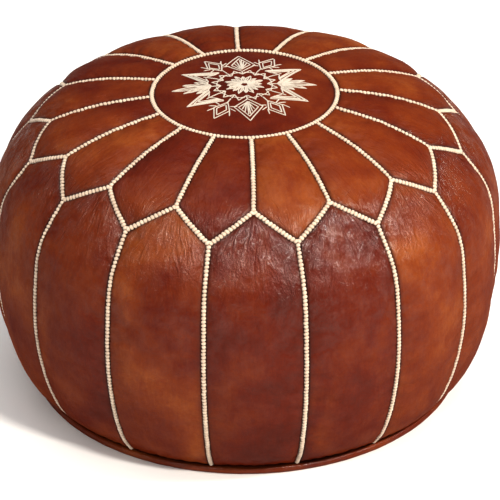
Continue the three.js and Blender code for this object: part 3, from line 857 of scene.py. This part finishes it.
def thread_tube(path, normals, width, height):
    """One thread laid on a surface along a path, flat underneath and thin at both ends."""
    run = run_along(path)
    along = np.gradient(path, axis=0)
    along /= np.linalg.norm(along, axis=1, keepdims=True)
    side = np.cross(along, normals)
    side /= np.linalg.norm(side, axis=1, keepdims=True)
    from_end = np.minimum(run, run[-1] - run)
    plump = np.clip(0.45 + from_end / (1.5 * MM), 0, 1)[:, None, None]
    turn = 2 * math.pi * np.arange(TUBE_SIDES) / TUBE_SIDES
    across, up = np.cos(turn) * width / 2, np.sin(turn) * height / 2 + 0.25 * height
    rings = path[:, None] + plump * (side[:, None] * across[:, None] + normals[:, None] * up[:, None])
    middle = normals * 0.25 * height
    tips = [path[end] + middle[end] + way * along[end] * 0.3 * width for end, way in ((0, -1), (-1, 1))]
    vertices = np.vstack([rings.reshape(-1, 3), tips])
    faces = ring_faces(len(path), TUBE_SIDES)
    faces += tip_faces(len(path), TUBE_SIDES, (len(vertices) - 2, len(vertices) - 1))
    ply = run[:, None] / (0.35 * MM) + turn * 1.0
    # the second strand value is painted shade on the thread's underside, where it lies on the surface
    strands = np.stack([ply, 0.35 * np.clip(-np.sin(turn), 0, 1) + 0 * ply, 0 * ply], -1).reshape(-1, 3)
    return vertices, faces, np.vstack([strands, strands[:1], strands[-1:]])


# The embroidery's motifs, as lines of points in star radii: outwards from its centre, and sideways.


def mirrored(lines):
    return [np.array(line, float) * (1, way) for line in lines for way in (1, -1)]


def leaf(start, end, width):
    start, end = np.array(start, float), np.array(end, float)
    t = np.linspace(0, 1, 7)[:, None]
    spine = start + (end - start) * t
    side = np.array([start[1] - end[1], end[0] - start[0]]) / np.linalg.norm(end - start)
    bow = width * np.sin(math.pi * t) ** 0.8
    return [spine + side * bow, spine - side * bow, spine[[0, -1]]]


def kite_motif():
    """A broad kite with a fan of long stitches inside."""
    outline = [[(0.43, 0), (0.64, 0.21), (1, 0)], [(0.5, 0), (0.65, 0.145), (0.9, 0)]]
    fan = [[(0.5, 0), (0.84, 0.015)], [(0.52, 0.01), (0.78, 0.05)], [(0.54, 0.02), (0.71, 0.09)]]
    return mirrored(outline + fan)


def leaves_motif():
    """A spray of five narrow leaves."""
    lines = [*leaf((0.5, 0), (1.04, 0), 0.04), np.array([(0.36, 0), (0.55, 0)])]
    for tip, foot, width in (((0.88, 0.12), (0.54, 0.02), 0.032), ((0.7, 0.17), (0.48, 0.02), 0.028)):
        for line in leaf(foot, tip, width):
            lines += mirrored([line])
    return lines


def arrow_motif():
    """A long arrowhead whose two arms are filled with close, parallel stitches."""
    arm = [
        [(1, 0), (0.5, 0.2)],
        [(0.95, 0), (0.5, 0.175), (0.5, 0.2)],
        [(0.88, 0), (0.51, 0.145)],
        [(0.8, 0), (0.53, 0.11), (0.5, 0.2)],
        [(0.53, 0.11), (0.6, 0.02)],
    ]
    return mirrored(arm) + [np.array([(0.42, 0), (0.66, 0)])]


def diamond_motif():
    """A small diamond with barbs."""
    half = [
        [(0.56, 0), (0.76, 0.12), (1.02, 0)],
        [(0.63, 0), (0.76, 0.075), (0.92, 0)],
        [(0.76, 0.12), (0.87, 0.18)],
        [(0.7, 0.1), (0.74, 0.2)],
        [(0.66, 0.08), (0.62, 0.17)],
    ]
    return mirrored(half) + [np.array([(0.44, 0), (0.6, 0)])]


def star_lines():
    """Every thread of the star, as lines in star radii across the medallion."""
    lines = []
    ray = 2 * math.pi / 12
    motifs = [leaves_motif, arrow_motif, diamond_motif, kite_motif, diamond_motif, arrow_motif]
    placed = [(motif(), k * ray) for k, motif in enumerate(motifs * 2)]
    for k in range(16):
        reach = 0.29 if k % 2 else 0.25
        placed.append((leaf((0.05, 0), (reach, 0), 0.03), k * PITCH))
    lattice = [[(0.335, 0), (0.47 * math.cos(ray / 2), 0.47 * math.sin(ray / 2))], [(0.335, 0), (0.43, 0)]]
    lattice.append([(0.4, 0.02), (0.40 * math.cos(ray / 2), 0.40 * math.sin(ray / 2))])
    placed += [(mirrored(lattice), k * ray) for k in range(12)]
    for group, turn in placed:
        c, s = math.cos(turn + STAR_TURN), math.sin(turn + STAR_TURN)
        lines += [line @ np.array([(c, s), (-s, c)]) for line in group]
    return lines


def embroidery_piece():
    tubes = []
    for line in star_lines():
        corners = line * STAR_RADIUS + rng.normal(0, 0.35 * MM, line.shape)
        run = run_along(corners)
        at = np.linspace(0, run[-1], max(3, round(run[-1] / (1.3 * MM)) + 1))
        x, y = (np.interp(at, run, corners[:, i]) + STAR_CENTRE[i] for i in (0, 1))
        path = np.stack([x, y, medallion_surface(x, y)], -1)
        up = np.tile((0.0, 0.0, 1.0), (len(path), 1))
        tubes.append(thread_tube(path, up, THREAD_WIDTH * rng.uniform(0.85, 1.1), THREAD_HEIGHT))
    threads_piece("star_embroidery", tubes, SILVER, "medallion_embroidery")


embroidery_piece()

# --- Base -----------------------------------------------------------------------------------------


def smooth_fade(value, flat, edge):
    t = np.clip((np.abs(value) - flat) / (edge - flat), 0, 1)
    return 1 - t * t * (3 - 2 * t)


def trough_share(x, y):
    """How much of the trough's height is left: 1 along the zip and 0 well away from it."""
    return smooth_fade(x, TROUGH_FLAT[0], TROUGH_EDGE[0]) * smooth_fade(y, TROUGH_FLAT[1], TROUGH_EDGE[1])


def piping_piece(skin):
    around, about = 400, 14
    a, t = np.meshgrid(
        np.linspace(0, 2 * math.pi, around, endpoint=False),
        np.linspace(0, 2 * math.pi, about, endpoint=False),
        indexing="ij",
    )
    centre = np.stack([np.cos(a), np.sin(a), 0 * a], -1) * PIPING_RING_RADIUS
    plump = PIPING_RADIUS * (1 + 0.06 * noise_at(centre, 0.02, 2) + 0.04 * noise_at(centre, 0.006, 6))
    r = PIPING_RING_RADIUS + plump * np.cos(t)
    z = np.maximum(PIPING_RADIUS + plump * np.sin(t), 0.2 * MM)
    points = np.stack([r * np.cos(a), r * np.sin(a), z], -1)
    faces = ring_faces(around, about, closed=True)
    mapped = np.stack([a * PIPING_RING_RADIUS, t * PIPING_RADIUS, 0 * a], -1)
    leather_piece(
        "piping_leather", [points], faces, skin, mapped, (0.3, 0, 0), "base_piping"
    )


def base_surface(x, y):
    """Height of the underside of the base's leather."""
    flat = np.stack([x, y, 0 * x], -1)
    dents = 0.5 * MM * (1 + noise_at(flat, 0.05, 7)) + 0.3 * MM * (1 + noise_at(flat, 0.015, 3))
    return TROUGH_HEIGHT * trough_share(x, y) + dents * (1 - 0.9 * trough_share(x, y))


def base_panel_piece(side, node, skin):
    columns = 150
    end_width = 4 * MM
    end = math.sqrt(BASE_RADIUS**2 - end_width**2)
    x = end * np.sin(np.linspace(-math.pi / 2, math.pi / 2, columns + 1))
    share = spread(200 * MM) / (200 * MM)
    inner = BASE_GAP + (SLOT_HALF_WIDTH - BASE_GAP) * smooth_fade(x, *SLOT_ENDS)
    outer = np.sqrt(BASE_RADIUS**2 - x**2)
    y = inner[:, None] + (outer - inner)[:, None] * share
    x = x[:, None] + 0 * y
    edge = np.clip(np.minimum(y - inner[:, None], BASE_RADIUS - np.hypot(x, y)), 0, None)
    z = base_surface(x, side * y) + 0.35 * roll_depth(edge)
    under = np.stack([x, side * y, z], -1)
    # the third value darkens the leather near its edges: burnished dye and painted seam shade
    mapped = np.stack([x, y, burnish_and_seam_shade(edge)], -1)
    name, faces = node.replace("panel", "leather"), slab_faces(columns, len(share) - 1)
    layers = (under, under + (0, 0, LEATHER))
    leather_piece(name, layers, faces, skin, mapped, (0.25, 0, 0), node, uneven=False)

    # a row of plain machine stitches along the zip, and another where the two halves of the base meet
    tubes = []
    pitch, length, inset, reach = 3.6 * MM, 2.7 * MM, 3.2 * MM, 210 * MM
    for start in np.arange(-reach, reach, pitch):
        at = np.linspace(start, start + length, 3)
        beside = np.interp(abs(start), SLOT_ENDS, (SLOT_HALF_WIDTH, 0))
        across = side * (beside + inset) + 0 * at
        path = np.stack([at, across, base_surface(at, across) - 0.05 * MM], -1)
        down = np.tile((0.0, 0.0, -1.0), (3, 1))
        tubes.append(thread_tube(path, down, 0.8 * MM, 0.5 * MM))
    name = node.replace("panel", "topstitching")
    threads_piece(name, tubes, CREAM, node, uneven=False)


BASE_SKIN = leather_material("leather_base", 0.24, 2.2)
piping_piece(leather_material("leather_piping", 0.42, 3.1))
base_panel_piece(-1, "base_panel_front", BASE_SKIN)
base_panel_piece(1, "base_panel_back", BASE_SKIN)

# --- Zip ------------------------------------------------------------------------------------------


def brass_material():
    material, tree, principled = new_material("brass", Metallic=1.0)
    place = object_place(tree)
    patina = noise_node(tree, place, 260, 4, 0.65)
    tones = [(0.3, (0.20, 0.12, 0.045)), (0.55, (0.46, 0.30, 0.11)), (0.8, (0.60, 0.42, 0.18))]
    rubbed = mapped_place(tree, place, Scale=(300, 2400, 900))
    scratches = bump_node(tree, noise_node(tree, rubbed, 1.0, 3, 0.7), 0.03 * MM, 0.5)
    look = {"Base Color": ramp_node(tree, patina, tones), "Roughness": range_node(tree, patina, 0.48, 0.24)}
    connect(tree, principled, look | {"Normal": scratches})
    return material


def woven_material(name, light, dark, scale):
    """Plain weave: two sets of threads that cross, with uneven dye."""
    material, tree, principled = new_material(
        name, Roughness=0.85, Sheen_Weight=0.3, Sheen_Roughness=0.5, Specular_IOR_Level=0.25
    )
    place = object_place(tree)
    links = {"Vector": place, "Scale": scale, "Distortion": 0.6, "Detail": 2.0, "Detail Scale": 2.0}
    warp = add_node(tree, "ShaderNodeTexWave", links, bands_direction="X").outputs["Fac"]
    weft = add_node(tree, "ShaderNodeTexWave", links, bands_direction="Y").outputs["Fac"]
    threads = math_node(tree, "MAXIMUM", warp, weft)
    uneven = math_node(tree, "MULTIPLY", noise_node(tree, place, 140, 4, 0.6), 1.2)
    shade = math_node(tree, "MULTIPLY", threads, uneven, clamp=True)
    height = bump_node(tree, threads, 0.15 * MM, 0.6)
    folds = bump_node(tree, noise_node(tree, place, 45, 3, 0.6, 0.5), 2 * MM, 0.3, height)
    look = {"Base Color": ramp_node(tree, shade, [(0.1, dark), (0.9, light)]), "Normal": folds}
    connect(tree, principled, look)
    return material


BRASS = brass_material()
TAPE = woven_material("zip_tape", (0.060, 0.030, 0.018), (0.018, 0.009, 0.006), 260)


def teeth_piece(side, node):
    """One row of the zip's teeth. The two rows are half a pitch apart, so that they mesh."""
    pitch, tooth_half, head_half, half_height = 2.5 * MM, 0.62 * MM, 0.5 * MM, 1.25 * MM
    inner, foot, head = 1.5 * MM, 3.1 * MM, -0.85 * MM
    outline = [  # across the zip, half-width along it, half-height
        (foot, tooth_half, 0.8 * half_height),
        (inner, tooth_half, half_height),
        (0.4 * MM, 0.85 * head_half, 0.92 * half_height),
        (0.5 * head, head_half, 0.92 * half_height),
        (head, 0.7 * head_half, 0.6 * half_height),
    ]
    vertices, faces = [], []
    first_x = (0.25 if side > 0 else 0.75) * pitch - ZIP_HALF_LENGTH
    section = [(1, 0.5), (0.6, 1), (-0.6, 1), (-1, 0.5), (-1, -0.5), (-0.6, -1), (0.6, -1), (1, -0.5)]
    for number in range(round(2 * ZIP_HALF_LENGTH / pitch)):
        first = len(vertices)
        for y, half, height in outline:
            x = first_x + number * pitch
            vertices += [(x + half * a, side * y, ZIP_Z + height * b) for a, b in section]
        faces += ring_faces(len(outline), len(section), first)
        faces += [[end + k for k in range(len(section))] for end in (first, len(vertices) - len(section))]
    obj = make_object(node + "_elements", vertices, faces, BRASS, uneven=False)
    finish_piece(obj, node)

    x = np.arange(-ZIP_HALF_LENGTH, ZIP_HALF_LENGTH + 0.1 * MM, 1 * MM)
    cord = np.stack([x, side * 2.6 * MM + 0 * x, ZIP_Z + 0 * x], -1)
    sideways = np.tile((0.0, float(side), 0.0), (len(x), 1))
    tube = thread_tube(cord - sideways * 0.25 * MM, sideways, 1.7 * MM, 1.0 * MM)
    threads_piece(node + "_cord", [tube], TAPE, node, uneven=False)


def keep_cad(name, material, bevel):
    """A CAD part whose shape is right: it gets its finish, and slightly rounded edges."""
    obj = bpy.data.objects[name]
    obj.data.materials.clear()
    obj.data.materials.append(material)
    rounding = obj.modifiers.new("rounding", "BEVEL")
    rounding.width, rounding.segments, rounding.limit_method = bevel, 3, "ANGLE"


teeth_piece(-1, "zip_teeth_front")
teeth_piece(1, "zip_teeth_back")
for part in ("zip_top_stop_front", "zip_top_stop_back", "zip_bottom_stop", "zip_slider", "zip_pull"):
    keep_cad(part, BRASS, 0.25 * MM)
for part in ("zip_tape_front", "zip_tape_back"):
    keep_cad(part, TAPE, 0.1 * MM)

# --- Inside ---------------------------------------------------------------------------------------

LINING_INSET, LINING_TOP_GAP, LINING_FLOOR, LINING_RISE = 5.9 * MM, 1.4 * MM, 3.8 * MM, 9.2 * MM
STUFFING_INSET, STUFFING_TOP_GAP, STUFFING_FLOOR, STUFFING_RISE = 7.9 * MM, 3.2 * MM, 5.8 * MM, 9.8 * MM
INNER_TROUGH_SPREAD = (1.06, 1.25)  # how much wider the trough is inside than in the base


def inner_form(inset, top_gap, floor, rise, lumps):
    """A closed form that fills the cover, inset from the seams. lumps is how far its surface sinks."""
    segments = 128
    floor_reach, cap_reach, middle = 198 * MM, 82 * MM, (0, 0, 170 * MM)
    under = np.linspace(0, floor_reach, 26)[1:]
    r, z, nr, nz = profile_at(np.linspace(S_OF[BASE], 0, 60))
    cap = np.linspace(cap_reach, 6 * MM, 9)
    under_medallion = medallion_top(np.r_[cap, 0]) - LEATHER - top_gap
    outline_r = np.r_[under, r - nr * inset, cap]
    outline_z = np.r_[floor + 0 * under, np.maximum(z - nz * inset, floor), under_medallion[:-1]]
    angles = np.linspace(0, 2 * math.pi, segments, endpoint=False)
    radius, a = np.meshgrid(outline_r, angles, indexing="ij")
    height = outline_z[:, None] + 0 * a
    x, y = radius * np.cos(a), radius * np.sin(a)
    low = height < floor + 0.5 * MM
    height = height + rise * low * trough_share(x / INNER_TROUGH_SPREAD[0], y / INNER_TROUGH_SPREAD[1])
    ends = [(0, 0, floor + rise), (0, 0, under_medallion[-1])]
    points = np.vstack([np.stack([x, y, height], -1).reshape(-1, 3), ends])
    inward = middle - points
    inward /= np.linalg.norm(inward, axis=1, keepdims=True)
    sunk = lumps * (0.5 + 0.35 * noise_at(points, 0.035, 12) + 0.25 * noise_at(points, 0.012, 15))
    points = points + inward * np.clip(sunk, 0, None)[:, None]
    rings, tips = len(outline_r), (len(points) - 2, len(points) - 1)
    return points, ring_faces(rings, segments) + tip_faces(rings, segments, tips)


def stuffing_piece():
    filling = woven_material("filling", (0.80, 0.78, 0.72), (0.55, 0.52, 0.46), 90)
    points, faces = inner_form(STUFFING_INSET, STUFFING_TOP_GAP, STUFFING_FLOOR, STUFFING_RISE, 5 * MM)
    obj = make_object("stuffing_fill", points, faces, filling, uneven=False)
    finish_piece(obj, "stuffing")


def lining_piece():
    """The cotton bag, cut open along the zip."""
    cotton = woven_material("cotton", (0.76, 0.70, 0.60), (0.52, 0.46, 0.38), 420)
    points, faces = inner_form(LINING_INSET, LINING_TOP_GAP, LINING_FLOOR, LINING_RISE, 0.5 * MM)
    obj = make_object("lining_cotton", points, faces, cotton, uneven=False)
    mouth_x, mouth_y, mouth_z = SLOT_HALF_LENGTH, SLOT_HALF_WIDTH + 1 * MM, 40 * MM
    editable = bmesh.new()
    editable.from_mesh(obj.data)
    for axis, reach in (((1, 0, 0), mouth_x), ((0, 1, 0), mouth_y)):
        for way in (-1, 1):
            under = [f for f in editable.faces if f.calc_center_median().z < mouth_z]
            edges = {e for f in under for e in f.edges}
            corners = {v for f in under for v in f.verts}
            cut_at = tuple(way * reach * c for c in axis)
            bmesh.ops.bisect_plane(editable, geom=[*corners, *edges, *under], plane_co=cut_at, plane_no=axis)
    gone = []
    for face in editable.faces:
        middle = face.calc_center_median()
        if abs(middle.x) < mouth_x and abs(middle.y) < mouth_y and middle.z < mouth_z:
            gone.append(face)
    bmesh.ops.delete(editable, geom=gone, context="FACES")
    editable.to_mesh(obj.data)
    editable.free()
    thickness = obj.modifiers.new("thickness", "SOLIDIFY")
    thickness.thickness, thickness.offset = 1 * MM, -1
    finish_piece(obj, "lining_bag")


stuffing_piece()
lining_piece()

# --- Stage, light and camera ----------------------------------------------------------------------


def stage_floor():
    mesh = bpy.data.meshes.new("floor")
    far = 30.0
    mesh.from_pydata([(-far, -far, 0), (far, -far, 0), (far, far, 0), (-far, far, 0)], [], [(0, 1, 2, 3)])
    material, _, principled = new_material("floor", Roughness=0.9, Specular_IOR_Level=0.1)
    principled.inputs["Base Color"].default_value = (0.92, 0.92, 0.92, 1)
    mesh.materials.append(material)
    new_object("floor", mesh)


def area_light(name, position, target, size, power, color=(1, 1, 1)):
    light = bpy.data.lights.new(name, "AREA")
    light.shape = "RECTANGLE"
    light.size, light.size_y = size
    light.energy = power
    light.color = color
    obj = new_object(name, light)
    obj.location = position
    obj.rotation_euler = (Vector(target) - Vector(position)).to_track_quat("-Z", "Y").to_euler()


def make_camera():
    elevation, azimuth, roll = math.radians(30.43), math.radians(-2.11), math.radians(-0.27)
    distance, focal = 4.0, 264.6
    aim = Vector((0, 0, 0.170))
    slide_right, slide_up = 5.2 * MM, -27.9 * MM
    level = math.cos(elevation)
    back = Vector((math.sin(azimuth) * level, -math.cos(azimuth) * level, math.sin(elevation)))
    right = Vector((math.cos(azimuth), math.sin(azimuth), 0))
    up = back.cross(right)
    turned_right = math.cos(roll) * right + math.sin(roll) * up
    turned_up = math.cos(roll) * up - math.sin(roll) * right
    camera = bpy.data.cameras.new("camera")
    camera.sensor_width = 36
    camera.lens = focal
    obj = new_object("camera", camera)
    place = aim + back * distance + turned_right * slide_right + turned_up * slide_up
    turn = Matrix((turned_right, turned_up, back)).transposed().to_4x4()
    obj.matrix_world = Matrix.Translation(place) @ turn
    camera.clip_end = 100
    bpy.context.scene.camera = obj


def make_world(strength):
    world = bpy.data.worlds.new("studio")
    world.use_nodes = True
    background = world.node_tree.nodes["Background"]
    background.inputs["Color"].default_value = (1, 1, 1, 1)
    background.inputs["Strength"].default_value = strength
    bpy.context.scene.world = world


WARM = (1.0, 0.95, 0.86)
stage_floor()
make_world(0.56)
area_light("key", (1.26, -1.84, 2.42), (0, 0, 0.2), (0.34, 0.28), 86, WARM)
area_light("right", (2.12, -0.78, 1.85), (0, 0, 0.2), (0.3, 0.3), 34, WARM)
area_light("left", (-1.35, -1.9, 2.35), (0, 0, 0.2), (0.4, 0.3), 18, WARM)
area_light("overhead", (-0.2, 0.3, 3.6), (-0.2, 0.3, 0), (3.2, 3.2), 40)
make_camera()
bpy.context.scene.view_settings.view_transform = "Standard"
bpy.context.scene.view_settings.gamma = 0.82
